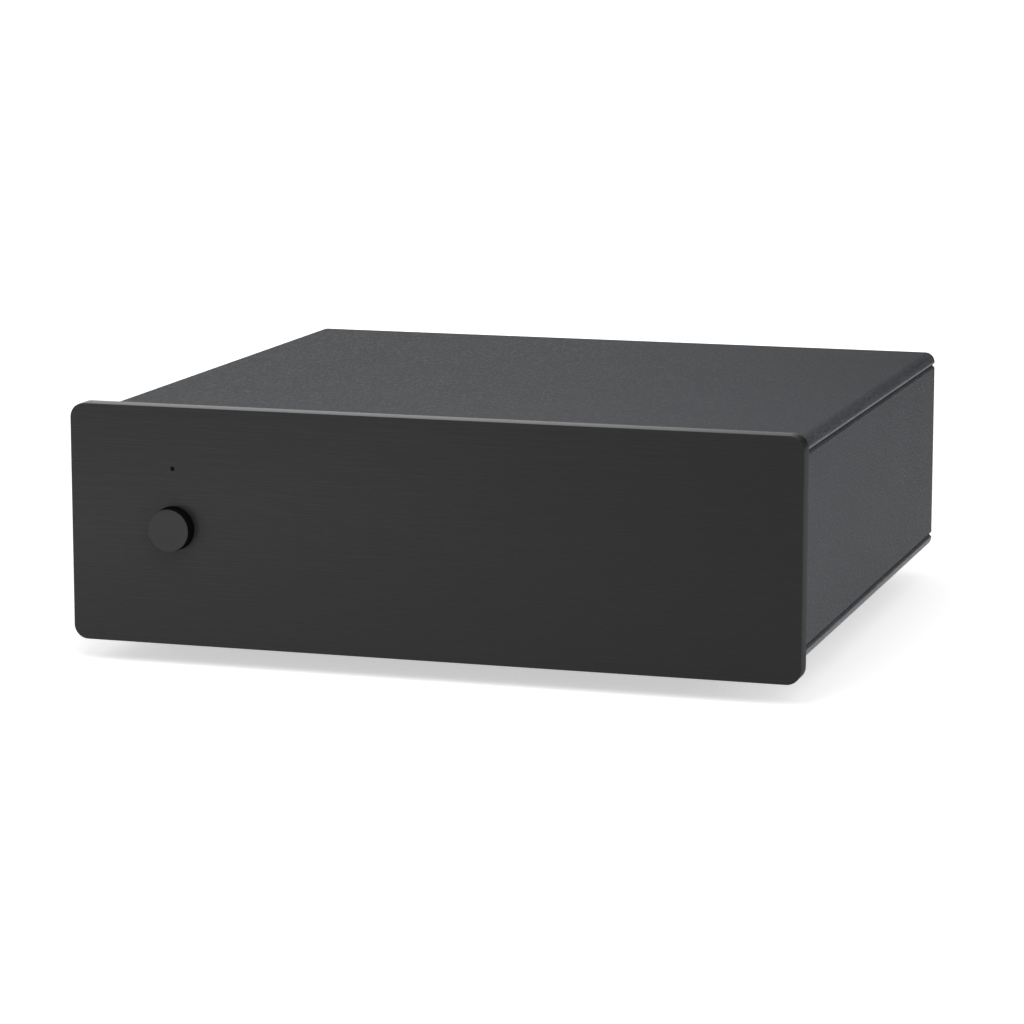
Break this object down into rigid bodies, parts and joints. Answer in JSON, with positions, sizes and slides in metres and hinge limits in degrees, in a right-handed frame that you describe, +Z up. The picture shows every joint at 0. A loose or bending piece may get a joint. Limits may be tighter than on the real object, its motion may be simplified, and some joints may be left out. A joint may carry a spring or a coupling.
{
  "type": "phono preamp",
  "caption": "Low black phono preamp case with a thick brushed front panel, round push button, indicator hole, rear phono sockets, ground terminal and power inlet.",
  "frame": {"origin": "middle of the overall box, on the surface that the feet stand on", "axes": "+X to the right seen from the front, +Y from the front panel to the rear panel, +Z up"},
  "size_m": [0.206, 0.209, 0.072],
  "materials": {
    "anodised_front": "brushed, black anodised",
    "anodised_button": "fine turned, black anodised",
    "anodised_case": "bead blasted, black anodised",
    "plain_aluminium": "mill finish",
    "black_steel": "black oxide",
    "zinc_steel": "bright zinc plate",
    "rubber": "matt",
    "gold_plate": "gold plate, polished",
    "white_plastic": "satin",
    "red_plastic": "satin",
    "black_plastic": "moulded",
    "nickel_pin": "nickel plate",
    "board_laminate": "solder mask on glass fibre laminate",
    "clear_plastic": "water clear",
    "switch_plastic": "moulded",
    "lever_plastic": "moulded",
    "capacitor_sleeve": "shrunk plastic sleeve",
    "film_plastic": "moulded",
    "ribbon_plastic": "moulded"
  },
  "bodies": {
    "root": {"front_panel": "anodised_front", "top_cover": "anodised_case", "base_cover": "anodised_case", "side_panel_left": "anodised_case", "side_panel_right": "anodised_case", "rear_panel": "anodised_case", "front_subplate": "plain_aluminium", "rear_panel_screws": "black_steel", "foot_screws": "black_steel", "base_screws": "black_steel", "subplate_screws": "zinc_steel", "front_panel_screws": "zinc_steel", "board_screws": "zinc_steel", "switch_spring": "zinc_steel", "ground_lock_nut": "zinc_steel", "foot_front_left": "rubber", "foot_front_right": "rubber", "foot_rear_left": "rubber", "foot_rear_right": "rubber", "input_socket_left": "gold_plate", "input_socket_right": "gold_plate", "output_socket_left": "gold_plate", "output_socket_right": "gold_plate", "socket_contacts": "gold_plate", "socket_nuts": "gold_plate", "ground_post": "gold_plate", "socket_insulators_left": "white_plastic", "socket_insulators_right": "red_plastic", "power_inlet": "black_plastic", "switch_housing": "black_plastic", "amplifier_chips": "black_plastic", "voltage_regulators": "black_plastic", "power_inlet_pin": "nickel_pin", "board_pillars": "nickel_pin", "front_board_pillars": "nickel_pin", "main_board": "board_laminate", "front_board": "board_laminate", "light_pipe": "clear_plastic", "power_led": "clear_plastic", "switch_bank_left": "switch_plastic", "switch_bank_right": "switch_plastic", "electrolytic_capacitors": "capacitor_sleeve", "film_capacitors": "film_plastic", "ribbon_cable": "ribbon_plastic"},
    "button": {"power_button": "anodised_button", "switch_plunger": "black_plastic"},
    "washer": {"ground_washer": "gold_plate"},
    "thumb_nut": {"ground_nut": "gold_plate"},
    "lever_left_1": {"switch_lever_left_1": "lever_plastic"},
    "lever_left_2": {"switch_lever_left_2": "lever_plastic"},
    "lever_left_3": {"switch_lever_left_3": "lever_plastic"},
    "lever_left_4": {"switch_lever_left_4": "lever_plastic"},
    "lever_left_5": {"switch_lever_left_5": "lever_plastic"},
    "lever_left_6": {"switch_lever_left_6": "lever_plastic"},
    "lever_right_1": {"switch_lever_right_1": "lever_plastic"},
    "lever_right_2": {"switch_lever_right_2": "lever_plastic"},
    "lever_right_3": {"switch_lever_right_3": "lever_plastic"},
    "lever_right_4": {"switch_lever_right_4": "lever_plastic"},
    "lever_right_5": {"switch_lever_right_5": "lever_plastic"},
    "lever_right_6": {"switch_lever_right_6": "lever_plastic"}
  },
  "joints": [
    {"name": "power_button_press", "type": "slide", "parent": "root", "child": "button", "axis": [0, 1, 0], "range_m": [0, 0.0025], "stiffness_N_per_m": 400, "springref_m": -0.003, "deforming": ["switch_spring"]},
    {"name": "ground_washer_slide", "type": "slide", "parent": "root", "child": "washer", "axis": [0, 1, 0], "range_m": [0, 0.0042]},
    {"name": "ground_nut_turn", "type": "hinge", "parent": "washer", "child": "thumb_nut", "pos_m": [0.012, 0.098, 0.029], "axis": [0, 1, 0], "range_deg": [0, 2160]},
    {"name": "lever_left_1_slide", "type": "slide", "parent": "root", "child": "lever_left_1", "axis": [0, 1, 0], "range_m": [0, 0.0018]},
    {"name": "lever_left_2_slide", "type": "slide", "parent": "root", "child": "lever_left_2", "axis": [0, 1, 0], "range_m": [0, 0.0018]},
    {"name": "lever_left_3_slide", "type": "slide", "parent": "root", "child": "lever_left_3", "axis": [0, 1, 0], "range_m": [0, 0.0018]},
    {"name": "lever_left_4_slide", "type": "slide", "parent": "root", "child": "lever_left_4", "axis": [0, 1, 0], "range_m": [0, 0.0018]},
    {"name": "lever_left_5_slide", "type": "slide", "parent": "root", "child": "lever_left_5", "axis": [0, 1, 0], "range_m": [0, 0.0018]},
    {"name": "lever_left_6_slide", "type": "slide", "parent": "root", "child": "lever_left_6", "axis": [0, 1, 0], "range_m": [0, 0.0018]},
    {"name": "lever_right_1_slide", "type": "slide", "parent": "root", "child": "lever_right_1", "axis": [0, 1, 0], "range_m": [0, 0.0018]},
    {"name": "lever_right_2_slide", "type": "slide", "parent": "root", "child": "lever_right_2", "axis": [0, 1, 0], "range_m": [0, 0.0018]},
    {"name": "lever_right_3_slide", "type": "slide", "parent": "root", "child": "lever_right_3", "axis": [0, 1, 0], "range_m": [0, 0.0018]},
    {"name": "lever_right_4_slide", "type": "slide", "parent": "root", "child": "lever_right_4", "axis": [0, 1, 0], "range_m": [0, 0.0018]},
    {"name": "lever_right_5_slide", "type": "slide", "parent": "root", "child": "lever_right_5", "axis": [0, 1, 0], "range_m": [0, 0.0018]},
    {"name": "lever_right_6_slide", "type": "slide", "parent": "root", "child": "lever_right_6", "axis": [0, 1, 0], "range_m": [0, 0.0018]}
  ],
  "couplings": [
    {"joint": "ground_nut_turn", "follows": "ground_washer_slide", "rad_per_m": 8976}
  ]
}
